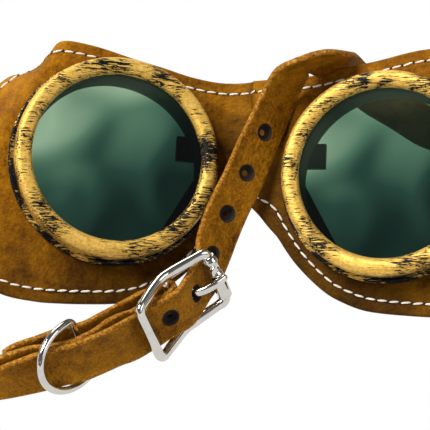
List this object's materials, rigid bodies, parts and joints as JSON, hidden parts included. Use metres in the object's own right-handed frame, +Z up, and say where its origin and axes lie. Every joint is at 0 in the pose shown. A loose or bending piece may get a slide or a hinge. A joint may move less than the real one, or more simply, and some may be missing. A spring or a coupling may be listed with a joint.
{
  "type": "goggles",
  "caption": "Leather-masked goggles with round screw-ring lens cups, an adjustable buckled strap laid in front and a wire keeper ring.",
  "frame": {"origin": "middle of the bounding box, on the table that the goggles rest on", "axes": "+X to the right of the pair as seen from the front, +Y to the back, +Z up"},
  "size_m": [0.2458, 0.1181, 0.0612],
  "materials": {
    "mask_leather": "rough oiled suede-like leather",
    "lining_leather": "smooth lining leather",
    "black_metal": "semi-gloss black enamel",
    "aged_brass": "brushed gold paint rubbed through to black",
    "gasket_rubber": "matt",
    "green_glass": "dark green glass",
    "strap_leather": "rough oiled leather",
    "nickel_plate": "polished nickel plate",
    "rivet_brass": "satin antique brass"
  },
  "bodies": {
    "mask": {"mask_leather": "mask_leather", "mask_lining": "lining_leather", "left_eyecup": "black_metal", "right_eyecup": "black_metal", "left_collar": "aged_brass", "right_collar": "aged_brass", "left_gasket": "gasket_rubber", "right_gasket": "gasket_rubber", "strap_buckle_side": "strap_leather", "strap_hole_side": "strap_leather", "fold_rivets": "rivet_brass", "left_wing_rivets": "rivet_brass", "right_wing_rivets": "rivet_brass"},
    "left_lens": {"left_lens": "green_glass"},
    "left_bezel": {"left_bezel": "aged_brass"},
    "right_lens": {"right_lens": "green_glass"},
    "right_bezel": {"right_bezel": "aged_brass"},
    "buckle": {"buckle_frame": "nickel_plate"},
    "prong": {"buckle_prong": "nickel_plate"},
    "roller": {"buckle_roller": "nickel_plate"},
    "keeper": {"keeper_ring": "nickel_plate"}
  },
  "joints": [
    {"name": "left_lens_lift", "type": "slide", "parent": "mask", "child": "left_lens", "axis": [0.2101, -0.6829, 0.6997], "range_m": [0, 0.00225]},
    {"name": "left_bezel_turn", "type": "hinge", "parent": "left_lens", "child": "left_bezel", "pos_m": [-0.02845, 0.016, 0.0297], "axis": [0.2101, -0.6829, 0.6997], "range_deg": [0, 540]},
    {"name": "right_lens_lift", "type": "slide", "parent": "mask", "child": "right_lens", "axis": [-0.2441, -0.6856, 0.6858], "range_m": [0, 0.00225]},
    {"name": "right_bezel_turn", "type": "hinge", "parent": "right_lens", "child": "right_bezel", "pos_m": [0.04615, 0.006, 0.0312], "axis": [-0.2441, -0.6856, 0.6858], "range_deg": [0, 540]},
    {"name": "buckle_rock", "type": "hinge", "parent": "mask", "child": "buckle", "pos_m": [-0.01145, -0.0251, 0.0118], "axis": [-0.3371, 0.0041, 0.9415], "range_deg": [-2.5, 2.5]},
    {"name": "prong_swing", "type": "hinge", "parent": "buckle", "child": "prong", "pos_m": [-0.01145, -0.0251, 0.0118], "axis": [0.3371, -0.0041, -0.9415], "range_deg": [0, 6]},
    {"name": "roller_spin", "type": "hinge", "parent": "buckle", "child": "roller", "pos_m": [-0.00018, -0.01831, 0.01581], "axis": [-0.3371, 0.0041, 0.9415], "continuous": true},
    {"name": "keeper_swing", "type": "hinge", "parent": "mask", "child": "keeper", "pos_m": [-0.03434, -0.04025, 0.00962], "axis": [-0.28, 0, 0.96], "range_deg": [0, 12]}
  ],
  "couplings": [
    {"joint": "left_lens_lift", "follows": "left_bezel_turn", "m_per_rad": 0.00023873},
    {"joint": "right_lens_lift", "follows": "right_bezel_turn", "m_per_rad": 0.00023873}
  ]
}
